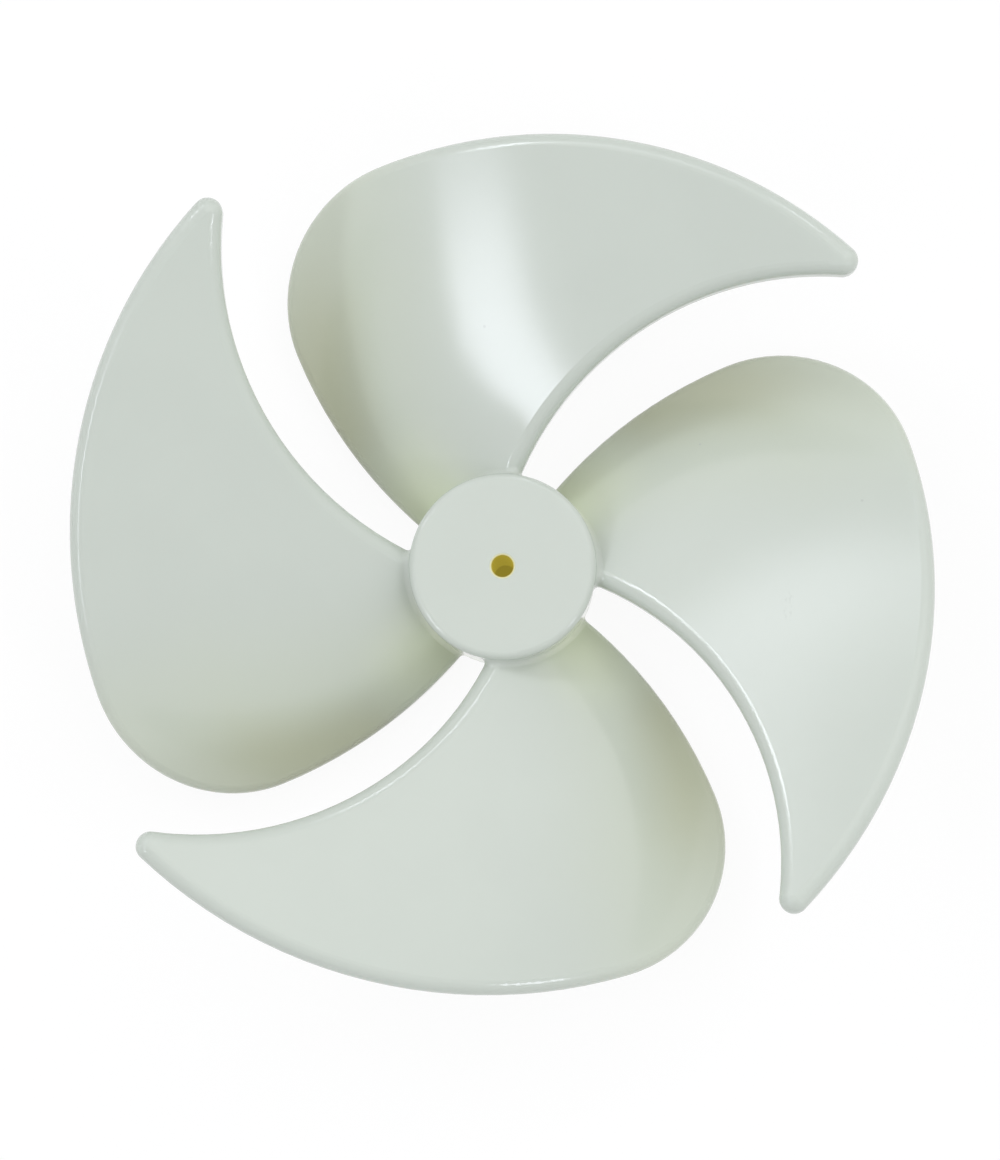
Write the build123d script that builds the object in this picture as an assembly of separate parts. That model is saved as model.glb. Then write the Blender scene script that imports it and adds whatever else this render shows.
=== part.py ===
from build123d import *
import os
from math import cos, hypot, radians, sin, tan

# Four-bladed axial fan for a refrigerator, moulded in one piece.
# Millimetres and degrees. The shaft axis is Z, the rear rim of the hub lies in
# the plane Z = 0 and the intake side, with the closed hub face, looks up.

# Hub: a cup with a closed front, open to the rear
hub_diameter = 27.2
hub_height = 15.0
hub_draft = 2.0
hub_wall = 1.4
hub_front_wall = 2.4
hub_rim_round = 1.0

# Boss and shaft bore
bore_diameter = 3.2
bore_lead_in = 0.3
boss_diameter = 8.5
boss_recess = 0.8

# Ribs between boss and wall, seen from the rear
rib_count = 4
rib_thickness = 1.4
rib_recess = 2.5

# Blade outline, looking along the axis: corners as radius and angle,
# edges as arcs with the given rise at mid-length
blade_count = 4
leading_root_angle = 81.2
tip_corner_radius = 66.9
tip_corner_angle = 34.8
lobe_corner_radius = 61.9
lobe_corner_angle = 124.8
trailing_root_angle = 151.7
leading_hollow = 11.1
outer_bow = 17.0
trailing_bow = 5.1
tip_round = 2.1
lobe_round = 19.8

# Blade form: how far its leading edge starts below the hub face and its trailing
# edge above the rear rim, how the edges rise towards the tip, and the bow of each
# section as a share of its chord
leading_root_drop = 1.8
leading_rake = 22.5
trailing_root_rise = 2.2
trailing_rake = 3.4
blade_camber = 0.059

# Blade thickness along the axis, and the rounding of its front and rear edges
leading_thickness = 4.0
trailing_thickness = 2.0
front_edge_round = 1.9
rear_edge_round = 0.25

# Fillet where the blades grow out of the hub wall
root_fillet = 0.8

# The blade's front and rear are cut from faces a little larger than the blade:
# by this much at the root and the tip, and by this share of the chord at the edges
surface_margin = 3.0
edge_margin = 0.2
surface_tolerance = 0.005

hub_radius = hub_diameter / 2
hub_rear_radius = hub_radius - hub_height * tan(radians(hub_draft))
cavity_radius = hub_rear_radius - hub_wall
cavity_depth = hub_height - hub_front_wall
blade_seat_radius = cavity_radius + hub_wall / 2


def polar(radius, angle):
    return Vector(radius * cos(radians(angle)), radius * sin(radians(angle)))


def leading_angle(radius):
    sweep = (tip_corner_angle - leading_root_angle) / (tip_corner_radius - blade_seat_radius)
    return leading_root_angle + sweep * (radius - blade_seat_radius)


def trailing_angle(radius):
    sweep = (lobe_corner_angle - trailing_root_angle) / (lobe_corner_radius - blade_seat_radius)
    return trailing_root_angle + sweep * (radius - blade_seat_radius)


def front_point(radius, share):
    """A point on the front of the blade; share is 0 at the leading edge, 1 at the trailing edge."""
    run = radius - blade_seat_radius
    lead = leading_angle(radius)
    wrap = trailing_angle(radius) - lead
    lead_height = hub_height - leading_root_drop + run * tan(radians(leading_rake))
    trail_height = trailing_root_rise + run * tan(radians(trailing_rake))
    bow = 4 * blade_camber * radius * radians(wrap) * share * (1 - share)
    height = lead_height + (trail_height - lead_height) * share + bow
    return polar(radius, lead + wrap * share) + Vector(0, 0, height)


def rear_point(radius, share):
    thickness = leading_thickness + (trailing_thickness - leading_thickness) * share
    return front_point(radius, share) - Vector(0, 0, thickness)


def outer_edge():
    tip = polar(tip_corner_radius, tip_corner_angle)
    lobe = polar(lobe_corner_radius, lobe_corner_angle)
    return SagittaArc(tip, lobe, -outer_bow)


def blade_surface(point_at):
    """A smooth face through points of the blade, a little larger than the blade on all sides."""
    radius_steps = 9
    share_steps = 11
    inner = blade_seat_radius - surface_margin
    outer = max((outer_edge() @ place).length for place in (0, 0.5, 1)) + surface_margin
    rows = []
    for i in range(radius_steps):
        radius = inner + (outer - inner) * i / (radius_steps - 1)
        row = []
        for j in range(share_steps):
            share = -edge_margin + (1 + 2 * edge_margin) * j / (share_steps - 1)
            row.append(point_at(radius, share))
        rows.append(row)
    return Face.make_surface_from_array_of_points(rows, tol=surface_tolerance, min_deg=3, max_deg=6)


def blade_outline():
    leading_root = polar(blade_seat_radius, leading_root_angle)
    outer = outer_edge()
    tip = outer @ 0
    lobe = outer @ 1
    trailing_root = polar(blade_seat_radius, trailing_root_angle)
    root_angle = (leading_root_angle + trailing_root_angle) / 2
    leading = SagittaArc(leading_root, tip, leading_hollow)
    trailing = SagittaArc(lobe, trailing_root, -trailing_bow)
    root = ThreePointArc(trailing_root, polar(blade_seat_radius, root_angle), leading_root)
    outline = make_face([*leading.edges(), *outer.edges(), *trailing.edges(), *root.edges()])
    outline = fillet(outline.vertices().sort_by_distance(tip)[0], tip_round)
    outline = fillet(outline.vertices().sort_by_distance(lobe)[0], lobe_round)
    return outline


def broad_faces(blade):
    """The rear and the front of the blade, in that order."""
    return blade.faces().sort_by(SortBy.AREA)[-2:].sort_by(Axis.Z)


def axis_distance(edge):
    middle = edge @ 0.5
    return hypot(middle.X, middle.Y)


def free_edges(face):
    """The edges of a blade face that stand clear of the hub: all but the root, the innermost one."""
    return sorted(face.edges(), key=axis_distance)[1:]


def make_blade():
    reach = hub_height + tip_corner_radius
    blank = extrude(blade_outline(), amount=reach, both=True)
    above_rear = extrude(blade_surface(rear_point), amount=2 * reach, dir=(0, 0, 1))
    above_front = extrude(blade_surface(front_point), amount=2 * reach, dir=(0, 0, 1))
    blade = (blank & above_rear) - above_front
    blade = fillet(free_edges(broad_faces(blade)[-1]), front_edge_round)
    blade = fillet(free_edges(broad_faces(blade)[0]), rear_edge_round)
    return blade


def make_hub():
    boss_radius = boss_diameter / 2
    section = Polyline(
        (0, hub_height),
        (hub_radius, hub_height),
        (hub_rear_radius, 0),
        (cavity_radius, 0),
        (cavity_radius, cavity_depth),
        (boss_radius, cavity_depth),
        (boss_radius, boss_recess),
        (0, boss_recess),
        close=True,
    )
    # The seam of the turned cup lies in a gap between two blades
    gap_angle = (trailing_root_angle + leading_root_angle + 360 / blade_count) / 2
    cup = Rot(0, 0, gap_angle) * revolve(Plane.XZ * make_face(section.edges()), axis=Axis.Z)
    front_rim = cup.edges().filter_by(GeomType.CIRCLE).group_by(Axis.Z)[-1].sort_by(SortBy.RADIUS)[-1]
    cup = fillet(front_rim, hub_rim_round)
    rib = Pos(0, 0, rib_recess) * Box(
        blade_seat_radius,
        rib_thickness,
        cavity_depth - rib_recess,
        align=(Align.MIN, Align.CENTER, Align.MIN),
    )
    for i in range(rib_count):
        cup += Rot(0, 0, 360 * (i + 0.5) / rib_count) * rib
    return cup


def make_bore():
    bore_radius = bore_diameter / 2
    section = Polyline(
        (0, boss_recess),
        (bore_radius + bore_lead_in, boss_recess),
        (bore_radius, boss_recess + bore_lead_in),
        (bore_radius, hub_height - bore_lead_in),
        (bore_radius + bore_lead_in, hub_height),
        (0, hub_height),
        close=True,
    )
    return revolve(Plane.XZ * make_face(section.edges()), axis=Axis.Z)


def root_edges(fan):
    """The edges along which the blades meet the tapered hub wall."""
    wall = fan.faces().filter_by(GeomType.CONE).sort_by(SortBy.AREA)[-1]
    return [edge for edge in wall.edges() if edge.geom_type not in (GeomType.CIRCLE, GeomType.LINE)]


blade = make_blade()
fan_blade = make_hub() - make_bore()
for i in range(blade_count):
    fan_blade += Rot(0, 0, 360 * i / blade_count) * blade
fan_blade = fillet(root_edges(fan_blade), root_fillet)

os.makedirs("parts", exist_ok=True)
export_step(fan_blade, "parts/fan_blade.step")
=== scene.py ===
import math

import bmesh
import bpy
from mathutils import Matrix, Vector

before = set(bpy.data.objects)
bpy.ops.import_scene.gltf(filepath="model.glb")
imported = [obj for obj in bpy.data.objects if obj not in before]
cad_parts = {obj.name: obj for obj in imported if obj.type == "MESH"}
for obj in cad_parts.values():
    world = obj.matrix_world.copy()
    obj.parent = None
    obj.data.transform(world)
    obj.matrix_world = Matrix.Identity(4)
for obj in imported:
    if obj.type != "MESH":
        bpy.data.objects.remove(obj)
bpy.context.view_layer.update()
scene = bpy.context.scene
print("fan: frame loaded,", sorted(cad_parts))


def feed(tree, socket, value):
    if isinstance(value, bpy.types.NodeSocket):
        tree.links.new(value, socket)
    else:
        socket.default_value = value


def addNode(tree, kind, inputs=None, **options):
    node = tree.nodes.new("ShaderNode" + kind)
    for name, option in options.items():
        setattr(node, name, option)
    for key, value in (inputs or {}).items():
        feed(tree, node.inputs[key], value)
    return node


def smoothBand(tree, value, low, high):
    band = addNode(
        tree, "MapRange", {"Value": value, "From Min": low, "From Max": high},
        interpolation_type="SMOOTHSTEP",
    )
    return band.outputs["Result"]


def compute(tree, operation, first, second=0.0):
    return addNode(tree, "Math", {0: first, 1: second}, operation=operation).outputs["Value"]


def mixColour(tree, share, first, second):
    mix = addNode(tree, "Mix", {0: share, 6: first, 7: second}, data_type="RGBA")  # 6, 7: its colours
    return mix.outputs[2]


def fromAxis(tree, place):
    flat = addNode(tree, "VectorMath", {0: place, 1: (1.0, 1.0, 0.0)}, operation="MULTIPLY")
    away = addNode(tree, "VectorMath", {0: flat.outputs["Vector"]}, operation="LENGTH")
    return away.outputs["Value"]


def nearPlace(tree, place, spot, size):
    away = addNode(tree, "VectorMath", {0: place, 1: spot}, operation="DISTANCE")
    return smoothBand(tree, away.outputs["Value"], *size)


def addNoise(tree, place, scale, detail):
    noise = addNode(tree, "TexNoise", {"Vector": place, "Scale": scale, "Detail": detail})
    return noise.outputs["Fac"]


plastic = {
    "pale": (0.565, 0.612, 0.555, 1.0),
    "paintedShadeOlive": (0.51, 0.535, 0.395, 1.0),       # painted shade: the low trailing part of each blade, darker and yellower
    "oliveRadius": (0.018, 0.045),            # from the root outwards ...
    "oliveHeight": (0.0042, 0.0098),          # ... the painted shade reaches this high
    "oliveFade": 0.003,
    "oliveStart": (0.019, 0.032),             # it begins clear of the hub ...
    "oliveClear": (0.061, 0.039),             # ... and fades again towards the outer edge
    "paintedWarmBounce": (0.565, 0.612, 0.515, 1.0),       # painted bounce light: a yellower cast spreads further up from the painted shade
    "warmFade": (-0.010, 0.0),
    "rootPaintedLight": (0.69, 0.745, 0.575, 1.0),    # painted light: lighter, yellower colour around the hub wall, where light shines through
    "rootRadius": (0.029, 0.0155),
    "rootHeight": (0.012, 0.005),
    "rootWall": (0.0122, 0.0127),
    "boreShadeAndGlow": (0.36, 0.30, 0.04, 1.0),    # painted shade and glow inside the bore ...
    "ringPaintedLight": (0.82, 0.83, 0.60, 1.0),    # ... and a painted highlight on its lead-in
    "boreRim": (0.00175, 0.00195),
    "boreDepth": (0.0149, 0.0146),
    "borePaintedGlow": 0.45,
    "specks": (                               # small dark marks on two of the blades
        (-0.0026, 0.0346, 0.0173),
        (0.0286, 0.0183, 0.0094),
        (0.0518, 0.0090, 0.0178),
    ),
    "speckSize": (0.00030, 0.00012),
    "speckColour": (0.50, 0.54, 0.49, 1.0),
    "scuffPlace": (0.0411, -0.0066, 0.0216),  # a rubbed patch on one blade
    "scuffStretch": (1.0, 0.4, 0.4),          # its fine lines run along Y
    "scuffSize": (0.0011, 0.0006),
    "scuffScale": 2600.0,
    "scuffDetail": 2.0,
    "scuffBand": (0.48, 0.60),
    "scuffColour": (0.53, 0.575, 0.52, 1.0),
    "roughness": 0.10,
    "cloudScale": 55.0,                       # a slight unevenness of the colour
    "cloudDetail": 3.0,
    "cloudBand": (0.35, 0.65),
    "cloudDepth": 0.015,
    "waveScale": 120.0,                       # a slight unevenness of the surface
    "waveDetail": 1.0,
    "waveHeight": 0.000004,
}


def makePlastic(settings):
    material = bpy.data.materials.new("palePlastic")
    material.use_nodes = True
    tree = material.node_tree
    shader = tree.nodes["Principled BSDF"]
    place = addNode(tree, "TexCoord").outputs["Object"]
    height = addNode(tree, "SeparateXYZ", {0: place}).outputs["Z"]
    radius = fromAxis(tree, place)

    reach = addNode(tree, "MapRange", {
        "Value": radius,
        "From Min": settings["oliveRadius"][0], "From Max": settings["oliveRadius"][1],
        "To Min": settings["oliveHeight"][0], "To Max": settings["oliveHeight"][1],
    }).outputs["Result"]
    below = compute(tree, "SUBTRACT", reach, height)
    fade = settings["oliveFade"]
    # painted shade: darker, yellower colour where the blade lies low at its trailing part
    paintedShadeMask = smoothBand(tree, below, -fade, fade)
    for reachName in ("oliveStart", "oliveClear"):
        paintedShadeMask = compute(tree, "MULTIPLY", paintedShadeMask, smoothBand(tree, radius, *settings[reachName]))
    # painted light: a lighter colour near the hub wall, low on the blades
    root = smoothBand(tree, height, *settings["rootHeight"])
    for reachName in ("rootRadius", "rootWall"):
        root = compute(tree, "MULTIPLY", root, smoothBand(tree, radius, *settings[reachName]))
    # painted bounce light: a yellower cast a little above the painted shade
    paintedWarmBounce = smoothBand(tree, below, *settings["warmFade"])

    cloud = addNoise(tree, place, settings["cloudScale"], settings["cloudDetail"])
    cloudy = smoothBand(tree, cloud, *settings["cloudBand"])
    darker = tuple(part * (1.0 - settings["cloudDepth"]) for part in settings["pale"][:3]) + (1.0,)
    body = mixColour(tree, cloudy, settings["pale"], darker)
    body = mixColour(tree, paintedWarmBounce, body, settings["paintedWarmBounce"])
    body = mixColour(tree, paintedShadeMask, body, settings["paintedShadeOlive"])
    body = mixColour(tree, root, body, settings["rootPaintedLight"])

    for spot in settings["specks"]:
        speck = nearPlace(tree, place, spot, settings["speckSize"])
        body = mixColour(tree, speck, body, settings["speckColour"])
    stretch = Vector(settings["scuffStretch"])
    rubbed = addNode(
        tree, "VectorMath", {0: place, 1: stretch}, operation="MULTIPLY",
    ).outputs["Vector"]
    grain = addNoise(tree, rubbed, settings["scuffScale"], settings["scuffDetail"])
    scuff = compute(
        tree, "MULTIPLY", smoothBand(tree, grain, *settings["scuffBand"]),
        nearPlace(tree, rubbed, Vector(settings["scuffPlace"]) * stretch, settings["scuffSize"]),
    )
    body = mixColour(tree, scuff, body, settings["scuffColour"])

    nearBore = smoothBand(tree, radius, settings["boreRim"][1], settings["boreRim"][0])
    # painted shade inside the bore, where it lies deep
    inBore = smoothBand(tree, height, *settings["boreDepth"])
    inBore = compute(tree, "MULTIPLY", inBore, nearBore)
    # painted highlight: a bright pale yellow ring on the bore's lead-in
    body = mixColour(tree, nearBore, body, settings["ringPaintedLight"])
    body = mixColour(tree, inBore, body, settings["boreShadeAndGlow"])
    feed(tree, shader.inputs["Base Color"], body)
    feed(tree, shader.inputs["Emission Color"], settings["boreShadeAndGlow"])
    # painted glow: the bore's inside gives off its own yellow light
    glow = compute(tree, "MULTIPLY", inBore, settings["borePaintedGlow"])
    feed(tree, shader.inputs["Emission Strength"], glow)
    feed(tree, shader.inputs["Roughness"], settings["roughness"])

    wave = addNoise(tree, place, settings["waveScale"], settings["waveDetail"])
    bump = addNode(tree, "Bump", {
        "Height": wave, "Distance": settings["waveHeight"], "Strength": 1.0,
    })
    feed(tree, shader.inputs["Normal"], bump.outputs["Normal"])
    return material


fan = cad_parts["fan_blade"]
fan.data.materials.clear()
fan.data.materials.append(makePlastic(plastic))
print("fan: plastic on the moulding")

coolWhite = (0.88, 0.90, 1.0)

studio = {
    "target": (0.0, 0.0, 0.015),
    "skyLevel": 0.37,
    "skySides": (0.90, 0.44),                 # more from the right and the left
    "floorSize": 6.0,
    "floorGap": 0.00005,                      # just clear of the hub's rear rim
    "floorColour": (0.80, 0.80, 0.80, 1.0),
    "floorGlow": 0.92,                        # the share of its white that shadows leave
    "hubShade": (0.24, 0.19, 0.020, 1.0),     # painted shade: a dim yellow glow on the floor under the hub, seen through the bore
    "hubShadeRadius": (0.0105, 0.0115),
    "lampDistance": 4.0,
    "lamps": {
        "overheadSoftbox": {
            "towards": (0.18, 0.25, 0.95), "along": (1.0, 0.0, 0.0),
            "length": 5.2, "width": 5.2, "soft": (1.0, 1.0),
            "radiance": 1.02, "colour": (1.0, 1.0, 0.98),
        },
        "northEastSoftbox": {
            "towards": (0.53, 0.53, 0.66), "along": (1.0, -1.0, 0.0),
            "length": 4.0, "width": 4.0, "soft": (1.0, 1.0),
            "radiance": 0.70, "colour": (1.0, 1.0, 1.0),
        },
        "northWestSoftbox": {
            "towards": (-0.53, 0.53, 0.66), "along": (1.0, 1.0, 0.0),
            "length": 4.0, "width": 4.0, "soft": (1.0, 1.0),
            "radiance": 1.25, "colour": (1.0, 1.0, 1.0),
        },
        "sideStrip": {                        # the sharp band on the upper blade
            "towards": (-0.593, -0.30, 0.747), "along": (0.22, -0.975, 0.0),
            "length": 5.0, "width": 1.50, "soft": (1.0, 0.5),
            "lit": 0.35, "bend": -1.0, "bendAt": -0.42,  # a curved strip, lit on part of its width
            "radiance": 8.9, "colour": coolWhite,
        },
        "rearStrip": {                        # the soft sheen on the right blade
            "towards": (-0.27, 0.64, 0.72), "along": (0.97, 0.22, 0.0),
            "length": 4.4, "width": 0.85, "soft": (1.0, 1.0),
            "radiance": 3.3, "colour": coolWhite,
        },
        "rearLeftLamp": {                     # the line on the right blade's leading edge
            "towards": (-0.60, 0.45, 0.66), "along": (-0.8, -0.6, 0.0),
            "length": 0.80, "width": 0.55, "soft": (0.5, 0.5),
            "radiance": 9.0, "colour": coolWhite,
        },
        "rearRightLamp": {                    # the line on the lower blade's leading edge
            "towards": (0.17, 0.77, 0.615), "along": (-0.55, 0.83, 0.0),
            "length": 0.70, "width": 0.60, "soft": (0.5, 0.5),
            "radiance": 7.0, "colour": coolWhite,
        },
        "sideLamp": {                         # the line on the lower blade's outer edge
            "towards": (0.635, -0.43, 0.64), "along": (1.0, 0.0, 0.0),
            "length": 0.90, "width": 0.95, "soft": (0.6, 0.6),
            "radiance": 9.0, "colour": coolWhite,
        },
    },
}


def lampMatrix(towards, along, target, distance):
    back = Vector(towards).normalized()
    side = Vector(along)
    side = (side - back * side.dot(back)).normalized()
    spin = Matrix((side, back.cross(side), back)).transposed()
    return Matrix.Translation(target + back * distance) @ spin.to_4x4()


def softenLamp(lamp, own):
    lamp.use_nodes = True
    tree = lamp.node_tree
    spot = addNode(tree, "NewGeometry").outputs["Parametric"]
    spread = addNode(                         # from -1 to 1 along and across the lamp
        tree, "VectorMath", {0: spot, 1: (2.0, 2.0, 0.0), 2: (-1.0, -1.0, 0.0)},
        operation="MULTIPLY_ADD",
    )
    parts = addNode(tree, "SeparateXYZ", {0: spread.outputs["Vector"]})
    along, across = parts.outputs["X"], parts.outputs["Y"]
    if "bend" in own:                         # the lit strip curves across the lamp
        offset = compute(tree, "SUBTRACT", along, own["bendAt"])
        middle = compute(tree, "MULTIPLY", compute(tree, "POWER", offset, 2.0), own["bend"])
        across = compute(tree, "SUBTRACT", across, middle)
    lit = own.get("lit", 1.0)
    alongSoft, acrossSoft = own["soft"]
    alongFade = smoothBand(tree, compute(tree, "ABSOLUTE", along), 1.0, 1.0 - alongSoft)
    acrossFade = smoothBand(tree, compute(tree, "ABSOLUTE", across), lit, lit * (1.0 - acrossSoft))
    strength = compute(tree, "MULTIPLY", alongFade, acrossFade)
    feed(tree, tree.nodes["Emission"].inputs["Strength"], strength)


def addLamps(settings):
    for name, own in settings["lamps"].items():
        lamp = bpy.data.lights.new(name, "AREA")
        lamp.shape = "RECTANGLE"
        lamp.size = own["length"]
        lamp.size_y = own["width"]
        lamp.color = own["colour"]
        lamp.energy = math.pi * own["length"] * own["width"] * own["radiance"]
        softenLamp(lamp, own)
        holder = bpy.data.objects.new(name, lamp)
        holder.matrix_world = lampMatrix(
            own["towards"], own["along"], Vector(settings["target"]), settings["lampDistance"],
        )
        holder.visible_camera = False
        scene.collection.objects.link(holder)


def seenDirectly(tree):
    path = addNode(tree, "LightPath").outputs
    eye = compute(tree, "MAXIMUM", path["Is Camera Ray"], path["Is Glossy Ray"])
    return compute(tree, "MAXIMUM", eye, path["Is Transmission Ray"])


def addSky(settings):
    world = bpy.data.worlds.new("studioSky")
    world.use_nodes = True
    scene.world = world
    tree = world.node_tree
    look = addNode(tree, "TexCoord").outputs["Generated"]
    sideways = addNode(tree, "SeparateXYZ", {0: look}).outputs["X"]
    light = settings["skyLevel"]
    for end, extra in zip((1.0, -1.0), settings["skySides"]):
        side = addNode(tree, "MapRange", {"Value": sideways, "From Max": end, "To Max": extra})
        light = compute(tree, "ADD", side.outputs["Result"], light)
    level = addNode(tree, "MapRange", {
        "Value": seenDirectly(tree), "To Min": light, "To Max": 1.0,  # white where it is looked at
    })
    sky = tree.nodes["Background"]
    feed(tree, sky.inputs["Color"], (1.0, 1.0, 1.0, 1.0))
    feed(tree, sky.inputs["Strength"], level.outputs["Result"])


def makeFloorWhite(settings):
    material = bpy.data.materials.new("floorWhite")
    material.use_nodes = True
    tree = material.node_tree
    tree.nodes.remove(tree.nodes["Principled BSDF"])
    radius = fromAxis(tree, addNode(tree, "TexCoord").outputs["Object"])
    inner, outer = settings["hubShadeRadius"]
    # painted shade: the floor under the hub glows dim yellow instead of white
    underHub = smoothBand(tree, radius, outer, inner)
    level = settings["floorGlow"]
    glowColour = mixColour(tree, underHub, (level, level, level, 1.0), settings["hubShade"])
    glow = addNode(tree, "Emission", {"Color": glowColour})
    rest = 1.0 - level
    catcher = addNode(tree, "BsdfDiffuse", {"Color": (rest, rest, rest, 1.0)})  # takes the shadow
    bright = addNode(tree, "AddShader", {0: catcher.outputs["BSDF"], 1: glow.outputs["Emission"]})
    plain = addNode(tree, "BsdfDiffuse", {"Color": settings["floorColour"]})
    pick = addNode(tree, "MixShader", {
        0: seenDirectly(tree), 1: plain.outputs["BSDF"], 2: bright.outputs["Shader"],
    })
    fromBelow = addNode(tree, "NewGeometry").outputs["Backfacing"]
    clear = addNode(tree, "BsdfTransparent")
    oneSided = addNode(tree, "MixShader", {
        0: fromBelow, 1: pick.outputs["Shader"], 2: clear.outputs["BSDF"],
    })
    feed(tree, tree.nodes["Material Output"].inputs["Surface"], oneSided.outputs["Shader"])
    return material


def addFloor(settings):
    mesh = bpy.data.meshes.new("studioFloor")
    sheet = bmesh.new()
    bmesh.ops.create_grid(sheet, x_segments=1, y_segments=1, size=settings["floorSize"] / 2)
    bmesh.ops.translate(sheet, verts=sheet.verts, vec=(0.0, 0.0, -settings["floorGap"]))
    sheet.to_mesh(mesh)
    sheet.free()
    mesh.materials.append(makeFloorWhite(settings))
    floor = bpy.data.objects.new("studioFloor", mesh)
    scene.collection.objects.link(floor)


addFloor(studio)
addSky(studio)
addLamps(studio)
print("fan: studio set")

photoView = {
    "imageSize": (1000, 1160),      # pixels of the whole frame
    "hubPixel": (502.4, 565.8),     # where the middle of the hub face lies in the frame
    "hubFaceZ": 0.015,              # height of the hub face, metres
    "pixelSize": 0.0001444,         # metres per pixel at the hub face
    "distance": 0.75,               # from the lens to the hub face
    "tilt": (-6.18, -1.97),         # how the shaft leans to the line of sight, degrees
    "sensor": 36.0,
}


def addCamera(view):
    lean = Vector((*view["tilt"], 0.0))
    turn = Matrix.Rotation(math.radians(lean.length), 3, lean).transposed()
    wide, tall = view["imageSize"]
    size = view["pixelSize"]
    across = (view["hubPixel"][0] - wide / 2) * size
    upward = (tall / 2 - view["hubPixel"][1]) * size
    place = turn @ Vector((-across, -upward, view["distance"]))
    place.z += view["hubFaceZ"]
    lens = bpy.data.cameras.new("photoCamera")
    lens.sensor_width = view["sensor"]
    lens.lens = view["distance"] / size / tall * view["sensor"]
    lens.clip_start = 0.01
    camera = bpy.data.objects.new("photoCamera", lens)
    camera.matrix_world = Matrix.Translation(place) @ turn.to_4x4()
    scene.collection.objects.link(camera)
    scene.camera = camera


addCamera(photoView)
scene.view_settings.view_transform = "Standard"
print("fan: camera set")
